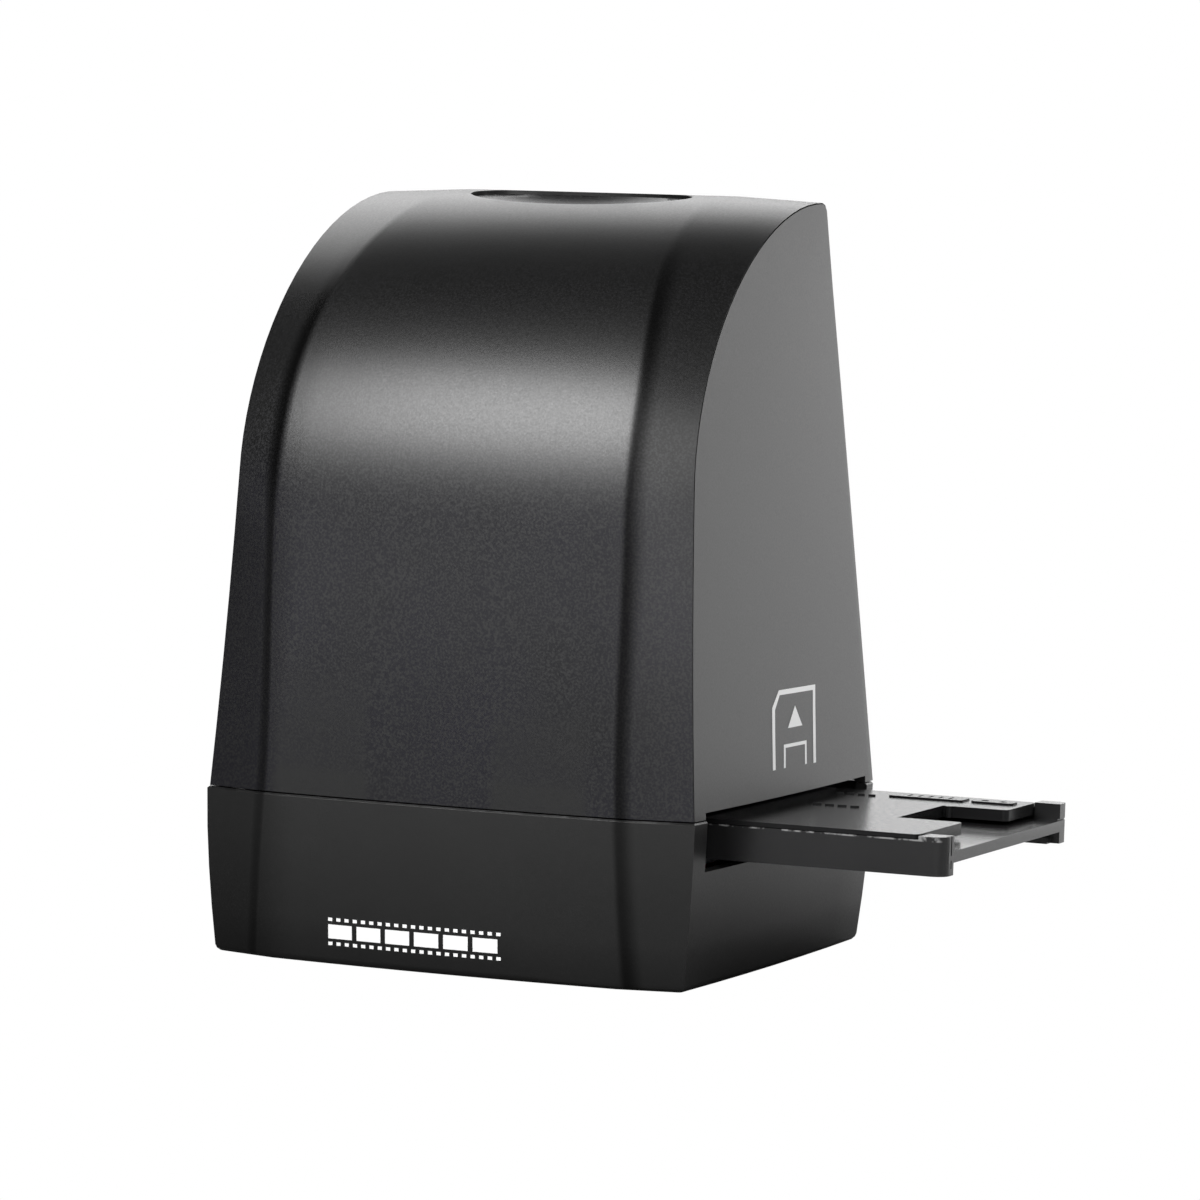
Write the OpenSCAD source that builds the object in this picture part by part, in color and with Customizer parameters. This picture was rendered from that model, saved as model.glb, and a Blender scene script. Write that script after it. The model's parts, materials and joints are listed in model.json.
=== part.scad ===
// Film negative scanner: a tall housing whose smoked front cover curves over the top,
// a through slot near the base and a hinged film holder that slides through the slot.
// +X is to the right, -Y is the front, +Z is up. The origin is the centre of the footprint,
// in the plane that the rubber feet stand on.

/* [Housing] */
// Half width of the housing at its corners, at the seam
seam_half = 42.65; // [41:0.05:44]
// Half width of the housing at its corners, at the top
top_half = 39.15; // [38:0.05:41]
// Outward bow of each side
side_bow = 0.8; // [0:0.1:1.2]
// Distance of the rear wall behind the origin, at the seam
rear_depth = 42.9; // [41.5:0.1:44]
// Outward bow of the rear wall, seen from the side
rear_bow = 2.5; // [0.5:0.1:3]
// Distance of the front panel before the origin
front_depth = 42.2; // [41:0.1:44]
// Outward crown of the front panel, seen from above
front_crown = 1.2; // [0:0.1:2]
// Distance of the corner edge before the origin, at the seam
corner_depth = 39.65; // [38.5:0.05:40.5]
// Distance of the corner edge before the origin, where it starts to curve
corner_knee_depth = 37.5; // [36.5:0.1:38.5]
// Height of the seam between the base and the upper housing
seam_z = 27.6; // [27:0.1:29]
// Height where the front panel starts to curve
front_knee_z = 71.1; // [66:0.1:76]
// Height where the corner edge starts to curve
corner_knee_z = 79.4; // [74:0.1:84]
// Height of the corner edge at its highest point
corner_top_z = 125.9; // [122:0.1:130]
// Rise of the middle of the top over its corner edges
top_crown = 0.7; // [0:0.1:1]
// Place of the highest point behind the origin
apex_y = 17.3; // [16:0.1:19]
// Roundness of the front panel's curve, where 2 is an ellipse
front_power = 2.137; // [2:0.01:2.4]
// Roundness of the corner edge's curve
corner_power = 1.848; // [1.7:0.01:2]
// Radius of the rear top edge
rear_top_r = 2.5; // [2.2:0.1:4]
// Half width of the front panel as a share of the housing's half width
panel_share = 0.77; // [0.7:0.01:0.8]
// Radius of the upright rear corners, at the seam
rear_corner_r = 0.8; // [0.5:0.1:3]
// How much of that share is lost towards the top
panel_narrowing = 0.15; // [0:0.01:0.2]
// Softness of the crease beside the front panel
crease_soft = 0.8; // [0.3:0.1:3]
// Thickness of the housing's walls
wall = 2; // [1.6:0.1:2.2]
// Width of the joint lines between the shells
joint_gap = 0.2; // [0.1:0.05:0.3]

/* [Base] */
// Height of the underside over the table
foot_gap = 0.4; // [0.3:0.05:1]
// How far the base stands proud of the shells at the seam
base_proud = 0.3; // [0:0.05:0.5]
// Inward taper of the base at the underside
base_taper = 1.6; // [0.5:0.1:2]
// Radius round the underside
base_fillet = 1.2; // [0.8:0.1:2]
// Radius of the base's upright rear corners
base_rear_r = 2.3; // [1:0.1:3]
// Radius of a rubber foot
foot_r = 5; // [3:0.1:6]
// Depth that a foot sits in its recess
foot_recess = 0.6; // [0.3:0.1:1]
// Distance of a foot's centre from the walls
foot_in = 16; // [12:0.5:18]

/* [Slot] */
// Distance of the slot's front end from the corner edge
slot_front = 4.65; // [4:0.05:6]
// Distance of the slot's rear end from the rear wall
slot_rear = 4.9; // [4.5:0.1:6]
// Depth of the slot's lower edge below the seam
slot_drop = 8.1; // [7.9:0.1:8.6]
// Rise of the slot's upper edge over the seam
slot_rise = 1.3; // [0.8:0.1:2]

/* [Film holder] */
// Length of the film holder
holder_l = 129.5; // [126:0.5:134]
// How far the holder's right end stands out from the origin
holder_out = 80; // [78:0.5:82]
// Depth of the holder's underside below the seam
holder_drop = 6.9; // [6.8:0.1:7.4]
// Height of the holder's edge rails
rail_h = 5.65; // [5.3:0.05:6]
// Thickness of the holder's edge rails
rail_t = 2.4; // [2:0.1:3]
// Height of the holder's floor over the underside of its rails
floor_rise = 1.95; // [1.5:0.05:2.2]
// Thickness of the holder's floor
holder_floor_t = 1.85; // [1.5:0.05:2]
// Thickness of the lid between the rails
lid_t = 1.9; // [1.6:0.1:2.1]
// How far the lid stands proud of the rails
lid_proud = 0.8; // [0.5:0.1:0.9]
// Length of a film frame
frame_l = 36; // [35:0.5:36]
// Height of a film frame
frame_h = 24; // [23:0.5:24]
// Width of the bar between two frames
frame_bar = 2; // [1.5:0.1:2.5]
// Distance of the middle between the frames from the holder's right end
frames_in = 80; // [79:0.5:84]
// Width of the film channel
film_w = 35.2; // [35.1:0.1:35.5]
// Width of the thumb notch in the lid
notch_w = 22.3; // [18:0.1:24]
// Depth of the thumb notch in the lid
notch_l = 11.2; // [8:0.1:13]
// Radius of the lid's corners beside the notch
arm_r = 1.2; // [0.6:0.1:2]
// Length of the blocks at the holder's right end
cap_l = 4.5; // [4:0.1:5]
// Outer radius of the front block
front_cap_r = 2.5; // [1.5:0.1:3]
// Height of the raised marks on the lid
mark_h = 0.3; // [0.2:0.05:0.4]
// Side play of the holder in its track
track_play = 0.3; // [0.2:0.05:0.4]

/* [Scan button] */
// Half length of the oval button
button_a = 19.4; // [17:0.1:20]
// Half width of the oval button
button_b = 9.3; // [8:0.1:9.5]
// Place of the button's centre behind the origin
button_y = 6.8; // [6:0.1:7]
// Depth of the dish in the button
dish_depth = 2.6; // [1:0.1:3]
// How far the button's rim lies under the top
button_recess = 0.4; // [0.2:0.1:0.8]
// Running gap round the button
button_gap = 0.35; // [0.3:0.05:0.5]
// Thickness of the button's shell
button_t = 1.4; // [1:0.1:1.6]
// Travel of the button
button_travel = 0.5; // [0.3:0.1:0.6]

/* [Optics and boards] */
// Thickness of every circuit board
board_t = 1.6; // [1.2:0.1:1.6]
// Depth of the chassis bridge below the top
bridge_drop = 32.2; // [30:0.2:36]
// Thickness of the chassis plates
chassis_t = 1.5; // [1.2:0.1:1.8]
// Depth of the button board below the top
button_board_drop = 18.2; // [17.4:0.2:20]
// Height of the main board
main_board_h = 31.8; // [28:0.2:34]
// Outer radius of the lens barrel
barrel_r = 5.95; // [5:0.05:6.2]
// Thickness of the diffuser plate
diffuser_t = 2.25; // [1.5:0.05:3]
// Height of the inlet's centre over the seam
inlet_rise = 8.4; // [8:0.1:10]
// Width of the inlet's metal shell
inlet_w = 7.7; // [7:0.1:8]
// Height of the inlet's metal shell
inlet_h = 3.9; // [3.5:0.1:4]

/* [Hidden] */
$fn = 48;

// Named clearances and fasteners
touch = 0.05;
cut = 1;
screw_r = 0.95;
screw_head_r = 1.8;
screw_head_h = 1.4;
screw_loose = 0.15;
edge_r = 0.25;

// Heights that several pieces share
floor_z = foot_gap + wall;
rise = corner_top_z - seam_z;
front_top_z = corner_top_z + top_crown;
rear_top_y = apex_y + rear_top_r;
slot_bottom_z = seam_z - slot_drop;
slot_top_z = seam_z + slot_rise;
holder_z = seam_z - holder_drop;
track_floor_t = 1.3;
track_z = holder_z - 0.1;
plate_z = track_z - track_floor_t;
rail_top_z = holder_z + rail_h;
floor_low_z = holder_z + floor_rise;
film_z = floor_low_z + holder_floor_t;
lid_top_z = rail_top_z + lid_proud;
lid_bottom_z = lid_top_z - lid_t;
guide_top_z = lid_top_z + mark_h + 0.2;
chassis_z = guide_top_z + touch;
bridge_z = corner_top_z - bridge_drop;
button_board_z = corner_top_z - button_board_drop;
inlet_z = seam_z + inlet_rise;

// Across the depth the holder fills what the walls, the screws and the cable leave free
guide_t = 2.2;
screw_space = 8.15;
cable_space = 3.4;
front_room = wall + screw_space + guide_t + track_play;
rear_room = wall + cable_space + guide_t + track_play;
holder_w = corner_depth + rear_depth - front_room - rear_room;
axis_y = (rear_depth - rear_room - corner_depth + front_room) / 2;
track_front_y = axis_y - holder_w / 2 - track_play;
track_rear_y = axis_y + holder_w / 2 + track_play;
track_end_gap = 2.65;
track_half = seam_half - wall - track_end_gap;

// The housing's surface

function mix(a, b, t) = a + (b - a) * t;
function share_of(z) = (z - seam_z) / rise;
function half_width(z) = top_half + (seam_half - top_half) * pow(1 - share_of(z), 2);
function rear_y(z) =
    let (s = (z - seam_z) / (corner_top_z - rear_top_r - seam_z))
    mix(rear_depth, rear_top_y, s) + 4 * rear_bow * s * (1 - s);

// One point of a curve that rises from the knee and levels out at the apex, at an angle of 0 to 90
function arc_point(knee_y, knee_z, top_z, power, angle) = [
    apex_y - (apex_y - knee_y) * pow(cos(angle), 2 / power),
    knee_z + (top_z - knee_z) * pow(sin(angle), 2 / power)
];
// The same curve goes on round the rear top edge from 90 to 180 degrees
function back_point(top_z, angle) = [
    apex_y + rear_top_r * sin(angle - 90),
    top_z - rear_top_r + rear_top_r * cos(angle - 90)
];
function over_top(knee_y, knee_z, top_z, power, angle) = angle <= 90
    ? arc_point(knee_y, knee_z, top_z, power, angle)
    : back_point(top_z, angle);

function corner_at(angle) =
    over_top(-corner_knee_depth, corner_knee_z, corner_top_z, corner_power, angle);
function front_at(angle) =
    over_top(-front_depth, front_knee_z, front_top_z, front_power, angle);

// The corner edge and the front panel at a station: below 0 the straight part, then the curve
function corner_point(st) = st < 0
    ? [mix(-corner_knee_depth, -corner_depth, -st), mix(corner_knee_z, seam_z + joint_gap, -st)]
    : corner_at(st);
function front_point(st) = st < 0
    ? [-front_depth, mix(front_knee_z, seam_z + joint_gap, -st)]
    : front_at(st);

// Unit normal into the housing, in the YZ plane
function inward(a, b) = let (d = (b - a) / norm(b - a)) [d[1], -d[0]];
function corner_normal(st) = st < 0
    ? inward(corner_point(-1), corner_point(0))
    : inward(corner_at(max(st - 1, 0)), corner_at(min(st + 1, 180)));
function front_normal(st) = st < 0
    ? [1, 0]
    : inward(front_at(max(st - 1, 0)), front_at(min(st + 1, 180)));

// Depth of the corner edge at a height, and of the front panel's middle at a depth
function corner_y(z) = z <= corner_knee_z
    ? mix(-corner_depth, -corner_knee_depth, (z - seam_z) / (corner_knee_z - seam_z))
    : apex_y - (apex_y + corner_knee_depth) * pow(
        1 - pow(min((z - corner_knee_z) / (corner_top_z - corner_knee_z), 1), corner_power),
        1 / corner_power);
function top_z_at(y) = y > apex_y
    ? front_top_z
    : front_knee_z + (front_top_z - front_knee_z) * pow(
        1 - pow((apex_y - y) / (apex_y + front_depth), front_power), 1 / front_power);

// Half width of the front panel at a height
narrowing_z = seam_z + 0.635 * rise;
function panel_half(z) = let (w = max(0, (z - narrowing_z) / (corner_top_z - narrowing_z)))
    half_width(z) * (panel_share - panel_narrowing * w * w);
// From 0 on the front panel to 1 at the corner edge, with a soft crease between
function crease(x, half, edge) = let (d = x - half + crease_soft)
    d <= 0 ? 0 : (d < 2 * crease_soft ? d * d / (4 * crease_soft) : d - crease_soft) / (edge - half);
// Distance from the middle of a column: up to 1 on the panel, to 2 over the crease, to 3 on the band
function column_x(u, half, full) = u <= 1
    ? u * (half - crease_soft)
    : (u <= 2
        ? half + (2 * u - 3) * crease_soft
        : mix(half + crease_soft, full, u - 2));

straight_stations = [for (i = [0 : 4]) -1 + i / 5];
curve_stations = [for (i = [0 : 22]) i * 90 / 22];
back_stations = [for (i = [1 : 3]) 90 + i * 30];
stations = concat(straight_stations, curve_stations, back_stations);
half_across = concat([for (i = [1 : 7]) i / 7], [4 / 3, 5 / 3, 2, 2.4, 2.75, 3]);
across = concat([for (i = [len(half_across) - 1 : -1 : 0]) -half_across[i]], [0], half_across);

function cover_point(st, column, depth) =
    let (
        c = front_point(st) + depth * front_normal(st),
        e = corner_point(st) + depth * corner_normal(st),
        z_out = corner_point(st)[1],
        full = half_width(z_out),
        half = panel_half(z_out),
        x_out = column_x(abs(column), half, full),
        f = crease(x_out, half, full),
        crown = front_crown * max(0, 1 - pow(x_out / half, 2)) * (st < 0 ? 1 : max(0, cos(min(st, 90)))),
        n = front_normal(st)
    )
    [
        sign(column) * x_out * (1 - depth / full),
        mix(c[0], e[0], f) - crown * n[0],
        mix(c[1], e[1], f) - crown * n[1]
    ];

// A closed sheet between an outer and an inner grid of points
function grid_faces(rows, cols, first, turned) = [
    for (i = [0 : rows - 2], j = [0 : cols - 2])
        let (a = first + i * cols + j, b = a + 1, c = a + cols, d = c + 1)
        each turned ? [[a, c, b], [b, c, d]] : [[a, b, c], [b, d, c]]
];
function rim(rows, cols) = concat(
    [for (j = [0 : cols - 2]) j],
    [for (i = [0 : rows - 2]) i * cols + cols - 1],
    [for (j = [cols - 1 : -1 : 1]) (rows - 1) * cols + j],
    [for (i = [rows - 1 : -1 : 1]) i * cols]
);
module sheet(outer, inner) {
    rows = len(outer);
    cols = len(outer[0]);
    n = rows * cols;
    edge = rim(rows, cols);
    count = len(edge);
    polyhedron(
        points = concat([for (r = outer) each r], [for (r = inner) each r]),
        faces = concat(
            grid_faces(rows, cols, 0, true),
            grid_faces(rows, cols, n, false),
            [for (k = [0 : count - 1])
                let (a = edge[k], b = edge[(k + 1) % count])
                each [[a, b, a + n], [b, b + n, a + n]]]
        )
    );
}

// A closed body of rings, each with as many points, from the first ring's cap to the last one's
module ring_stack(rings) {
    cols = len(rings[0]);
    rows = len(rings);
    polyhedron(
        points = [for (r = rings) each r],
        faces = concat(
            [[for (j = [0 : cols - 1]) j]],
            [for (i = [0 : rows - 2], j = [0 : cols - 1])
                let (a = i * cols + j, b = i * cols + (j + 1) % cols)
                each [[a, a + cols, b], [b, a + cols, b + cols]]],
            [[for (j = [cols - 1 : -1 : 0]) (rows - 1) * cols + j]]
        )
    );
}

// Plain helpers

module rounded_rect(size, r) {
    square([size[0] - 2 * r, size[1]], center = true);
    square([size[0], size[1] - 2 * r], center = true);
    for (sx = [-1, 1], sy = [-1, 1])
        translate([sx * (size[0] / 2 - r), sy * (size[1] / 2 - r)]) circle(r);
}
module block(low, high) {
    translate(low) cube(high - low);
}
module screw(length) {
    translate([0, 0, -screw_head_h]) cylinder(r = screw_head_r, h = screw_head_h);
    cylinder(r = screw_r, h = length);
}

// Base

base_front = 10;
base_side = 6;
// Outline of the base at a height, drawn in by an inset, counter-clockwise from above
function base_ring(z, inset) =
    let (
        s = 1 - (z - foot_gap) / (seam_z - foot_gap),
        pull = base_taper * pow(s, 1.7) - base_proud + inset,
        w = seam_half - pull,
        xc = panel_share * seam_half - pull,
        yf = -front_depth + pull,
        ye = -corner_depth + pull,
        yr = rear_depth - pull,
        front = [for (i = [-base_front : base_front])
            let (x = xc * i / base_front)
            [x, yf - front_crown * (1 - pow(i / base_front, 2)), z]],
        r = max(base_rear_r - inset, 0.3),
        reach = (yr - r - ye) / (yr - ye),
        side = [for (i = [0 : base_side])
            let (t = reach * i / base_side)
            [w + 4 * side_bow * t * (1 - t), mix(ye, yr, t), z]],
        turn = [for (a = [22.5 : 22.5 : 90])
            [w - r + (r + 4 * side_bow * reach * (1 - reach)) * cos(a), yr - r + r * sin(a), z]],
        right = concat(side, turn)
    )
    concat(front, right, [for (i = [len(right) - 1 : -1 : 0]) [-right[i][0], right[i][1], right[i][2]]]);

base_low_z = foot_gap + base_fillet;
base_rings = concat(
    [for (i = [0 : 3]) let (a = i * 30)
        base_ring(foot_gap + base_fillet * (1 - cos(a)), base_fillet * (1 - sin(a)))],
    [for (i = [1 : 4]) base_ring(mix(base_low_z, seam_z - edge_r, i / 4), 0)],
    [base_ring(seam_z, edge_r), base_ring(seam_z, wall), base_ring(floor_z, wall)]
);

foot_places = [for (sx = [-1, 1], y = [-corner_depth + foot_in, rear_depth - foot_in])
    [sx * (seam_half - foot_in), y]];
post_r = 2.3;
boss_r = 2.9;
rear_boss_r = 2.6;
front_screw_y = -corner_depth + wall + boss_r + 0.7;
rear_screw_y = rear_depth - wall - rear_boss_r - 0.1;
front_screw_places = [for (sx = [-1, 1]) [sx * (seam_half - 16.65), front_screw_y]];
rear_screw_x = seam_half - 12.65;
rear_screw_places = [for (sx = [-1, 1]) [sx * rear_screw_x, rear_screw_y]];
screw_seat_z = seam_z - 8;
base_screw_l = 12;

module at(places) {
    for (p = places) translate([p[0], p[1], 0]) children();
}
// A round post between two heights
module post(r, low, high) {
    translate([0, 0, low]) cylinder(r = r, h = high - low);
}

module slot_cut() {
    for (sx = [-1, 1])
        block([sx * seam_half - 3 * wall, -corner_depth + slot_front, slot_bottom_z],
              [sx * seam_half + 3 * wall, rear_depth - slot_rear, slot_top_z]);
}

board_margin = 6.5;
light_screw_in = 2.2;
light_boss_h = 1.6;
light_board_z = floor_z + light_boss_h;
light_board_half = [frame_l / 2 + board_margin, frame_h / 2 + board_margin];
light_screw_places = [for (sx = [-1, 1], sy = [-1, 1])
    [sx * (light_board_half[0] - light_screw_in), axis_y + sy * (light_board_half[1] - light_screw_in)]];
leg = 5;
leg_in = 5.3;
leg_places = [for (sx = [-1, 1], y = [track_front_y + leg_in, track_rear_y - leg_in])
    [sx * (track_half - leg_in + 1.3), y]];

module base_shell() {
    color("#2b2b2c")
    difference() {
        union() {
            ring_stack(base_rings);
            at(front_screw_places) post(boss_r, floor_z - 1, chassis_z - touch);
            at(rear_screw_places) post(rear_boss_r, floor_z - 1, seam_z);
            at(light_screw_places) post(light_screw_in, floor_z - 1, light_board_z);
        }
        slot_cut();
        at(concat(front_screw_places, rear_screw_places)) {
            post(screw_head_r + screw_loose, -cut, screw_seat_z);
            post(screw_r + screw_loose, -cut, seam_z + cut);
        }
        at(light_screw_places) post(screw_r + touch, floor_z - 0.8, light_board_z + cut);
        at(foot_places) post(foot_r + touch, -cut, foot_gap + foot_recess);
    }
}

module rubber_feet() {
    color("#191919")
    at(foot_places) post(foot_r, 0, foot_gap + foot_recess);
}

module base_screws() {
    color("#a9abad")
    at(concat(front_screw_places, rear_screw_places)) translate([0, 0, screw_seat_z]) screw(base_screw_l);
}

// Shells

hole_drop = 15;
module button_hole() {
    translate([0, button_y, corner_top_z - hole_drop])
        linear_extrude(height = hole_drop + 5 * wall)
            polygon([for (i = [0 : oval_points - 1]) let (a = i * 360 / oval_points)
                [(button_a + button_gap) * cos(a), (button_b + button_gap) * sin(a)]]);
}

module front_cover() {
    color("#3a3a3e")
    difference() {
        sheet(
            [for (st = stations) [for (t = across) cover_point(st, t, 0)]],
            [for (st = stations) [for (t = across) cover_point(st, t, wall)]]
        );
        button_hole();
    }
}

panel_rows = 7;
panel_angles = concat(curve_stations, back_stations);
wall_cols = 6;
// Top end of a side panel's column, under the cover's edge
function panel_top(angle, depth) = angle <= 90
    ? corner_at(angle) + (depth + joint_gap) * corner_normal(angle)
    : corner_at(angle) + depth * corner_normal(angle) - [0, joint_gap];
shell_z = seam_z + joint_gap;
function panel_point(k, r, depth) =
    let (
        share = k / (len(panel_angles) - 1),
        top = panel_top(panel_angles[k], depth),
        foot_y = mix(-corner_depth + joint_gap, rear_depth, share) + mix(1, -1, share) * depth,
        y = mix(foot_y, top[0], r) + 4 * rear_bow * r * (1 - r) * share,
        z = mix(shell_z, top[1], r),
        front = corner_y(z),
        span = rear_y(z) - front,
        w = min(max((y - front) / span, 0), 1),
        bow = 4 * side_bow * w * (1 - w) * span / (rear_depth + corner_depth)
    )
    [half_width(z) - depth + bow, y, z];
// Height of the cover's rear edge at a distance from the middle
function back_edge_z(x) = corner_top_z - rear_top_r
    + top_crown * (1 - crease(abs(x), panel_half(corner_top_z), half_width(corner_top_z)));
function wall_point(k, r, depth) =
    let (
        t = 1 - 2 * k / wall_cols,
        z = mix(shell_z, back_edge_z(t * top_half) - joint_gap, r)
    )
    [(half_width(z) - depth) * t, rear_y(min(z, corner_top_z - rear_top_r)) - depth, z];
// The upright rear corner, whose radius fades towards the top
function corner_arc(r, depth, a) =
    let (
        p = panel_point(len(panel_angles) - 1, r, depth),
        round_r = max(mix(rear_corner_r, 0.3, r) - depth, 0.15)
    )
    [p[0] - round_r + round_r * cos(a), p[1] - round_r + round_r * sin(a), p[2]];
function shell_row(r, depth) =
    let (right = concat(
        [for (k = [0 : len(panel_angles) - 2]) panel_point(k, r, depth)],
        [for (a = [0 : 30 : 90]) corner_arc(r, depth, a)]
    ))
    concat(
        right,
        [for (k = [1 : wall_cols - 1]) wall_point(k, r, depth)],
        [for (k = [len(right) - 1 : -1 : 0]) [-right[k][0], right[k][1], right[k][2]]]
    );

post_h = 8;
inlet_gap = 0.35;
module rear_shell() {
    color("#303032")
    difference() {
        union() {
            sheet(
                [for (i = [0 : panel_rows]) shell_row(i / panel_rows, 0)],
                [for (i = [0 : panel_rows]) shell_row(i / panel_rows, wall)]
            );
            at(rear_screw_places) post(post_r, seam_z, seam_z + post_h);
        }
        slot_cut();
        at(rear_screw_places) post(screw_r + touch, seam_z - cut, seam_z + post_h - 2);
        translate([0, rear_depth, inlet_z])
            cube([inlet_w + 2 * inlet_gap, 8 * wall, inlet_h + 2 * inlet_gap], center = true);
    }
}

// Backlight

box_z = light_board_z + board_t;
module backlight_board() {
    color("#1f5a3a")
    difference() {
        block([-light_board_half[0], axis_y - light_board_half[1], light_board_z],
              [light_board_half[0], axis_y + light_board_half[1], box_z]);
        at(light_screw_places) post(screw_r + screw_loose, light_board_z - cut, box_z + cut);
    }
}

led = [3.5, 2.8, 1.1];
led_places = [for (ix = [-1.5 : 1.5], iy = [-1 : 1]) [ix * frame_l / 4, axis_y + iy * frame_h / 3]];
module backlight_leds() {
    color("#f4f1d8")
    at(led_places) translate([-led[0] / 2, -led[1] / 2, box_z]) cube(led);
}

light_screw_l = 3;
module backlight_screws() {
    color("#a9abad")
    at(light_screw_places) translate([0, 0, box_z]) mirror([0, 0, 1]) screw(light_screw_l);
}

box_wall = 1.5;
diffuser_z = plate_z - touch - diffuser_t;
light_room = [frame_l / 2 + 1, frame_h / 2 + 1];
box_half = [light_room[0] + box_wall, light_room[1] + box_wall];
module reflector_box() {
    color("#e8e8e4")
    difference() {
        block([-box_half[0], axis_y - box_half[1], box_z], [box_half[0], axis_y + box_half[1], diffuser_z]);
        // the room for the light widens towards the film
        hull() {
            block([-light_room[0] + 2, axis_y - light_room[1] + 2, box_z - 0.1],
                  [light_room[0] - 2, axis_y + light_room[1] - 2, box_z]);
            block([-light_room[0], axis_y - light_room[1], diffuser_z],
                  [light_room[0], axis_y + light_room[1], diffuser_z + 0.1]);
        }
    }
}

module diffuser_plate() {
    color("#f7f7f3")
    block([-box_half[0], axis_y - box_half[1], diffuser_z],
          [box_half[0], axis_y + box_half[1], plate_z - touch]);
}

// Film track

rear_guide_half = rear_screw_x - boss_r - 1.6;
spring_half = rear_guide_half / 2;
spring_pocket = 1.1;
spring_low_z = track_z + 0.8;
spring_high_z = guide_top_z - 1.6;
module film_window(z0, z1, grow) {
    block([-frame_l / 2 - grow, axis_y - frame_h / 2 - grow, z0],
          [frame_l / 2 + grow, axis_y + frame_h / 2 + grow, z1]);
}
module film_track() {
    color("#222224")
    difference() {
        union() {
            // floor, with the front guide and the shorter rear guide
            block([-track_half, track_front_y - guide_t, plate_z], [track_half, track_rear_y, track_z]);
            block([-rear_guide_half, track_rear_y - cut, plate_z],
                  [rear_guide_half, track_rear_y + guide_t, track_z]);
            block([-track_half, track_front_y - guide_t, plate_z],
                  [track_half, track_front_y, guide_top_z]);
            block([-rear_guide_half, track_rear_y, plate_z],
                  [rear_guide_half, track_rear_y + guide_t, guide_top_z]);
            at(leg_places)
                block([-leg / 2, -leg / 2, floor_z], [leg / 2, leg / 2, plate_z + track_floor_t / 2]);
        }
        film_window(plate_z - cut, track_z + cut, 0.5);
        block([-spring_half, track_rear_y - 0.01, spring_low_z - 0.5],
              [spring_half, track_rear_y + spring_pocket, spring_high_z + 0.5]);
    }
}

leaf_t = 0.3;
leaf_rise = 0.8;
leaf_flat = 3.5;
leaf_half = spring_half - 0.25;
module detent_spring() {
    wave = [for (i = [-8 : 8]) let (x = (leaf_half - leaf_flat) * i / 8)
        [x, -leaf_rise * (1 + cos(x * 180 / (leaf_half - leaf_flat))) / 2]];
    color("#c9cbcd")
    translate([0, track_rear_y + spring_pocket - touch, spring_low_z])
        linear_extrude(height = spring_high_z - spring_low_z)
            polygon(concat(
                [[-leaf_half, -leaf_t]],
                [for (w = wave) w - [0, leaf_t]],
                [[leaf_half, -leaf_t], [leaf_half, 0]],
                [for (i = [len(wave) - 1 : -1 : 0]) wave[i]],
                [[-leaf_half, 0]]
            ));
}

// Chassis and optics

side_plate_x = top_half - 9;
plate_low_z = chassis_z + chassis_t;
bridge_t = 2;
bridge_top_z = bridge_z + bridge_t;
camera_board_z = bridge_top_z + 2;
camera_half = 15;
camera_screw_in = 2.5;
main_board_low_z = plate_low_z + 3;
main_board_high_z = main_board_low_z + main_board_h;
main_board_y = rear_y(main_board_high_z) - wall - 3.9;
main_board_half = side_plate_x - 4;
main_screw_in = 4;
chassis_post_r = 2.2;
bracket_t = 2;
camera_screw_places = [for (sx = [-1, 1], sy = [-1, 1])
    [sx * (camera_half - camera_screw_in), axis_y + sy * (camera_half - camera_screw_in)]];
button_post_places = [for (sx = [-1, 1]) [sx * (button_a + 0.6), button_y]];
main_screw_zs = [main_board_low_z + main_screw_in, main_board_high_z - main_screw_in];
main_screw_places = [for (sx = [-1, 1], z = main_screw_zs) [sx * (main_board_half - camera_screw_in), z]];
shield_y = -corner_depth + wall + 5;
shield_t = 1.2;
upright_low = 4;
upright_lean = 8;
upright_holes = [9, 7];
lens_drop = 8;
shield_top_z = mix(seam_z, corner_top_z, 0.227);
shield_spans = [[-0.7 * seam_half, -0.3 * seam_half], [0.18 * seam_half, 0.67 * seam_half]];

module side_plate() {
    foot_z = plate_low_z - 0.5;
    top_z = bridge_z + bridge_t;
    rotate([90, 0, 90])
        linear_extrude(height = chassis_t)
            difference() {
                polygon([
                    [shield_y + upright_low, foot_z], [main_board_y - 3, foot_z],
                    [main_board_y - 3, main_board_high_z], [axis_y + camera_half + 1, top_z],
                    [axis_y - camera_half - 1, top_z],
                    [shield_y + upright_lean, (foot_z + top_z) / 2]
                ]);
                translate([axis_y, mix(foot_z, top_z, 0.3)]) circle(upright_holes[0]);
                translate([axis_y, mix(foot_z, top_z, 0.68)]) circle(upright_holes[1]);
            }
}

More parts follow.
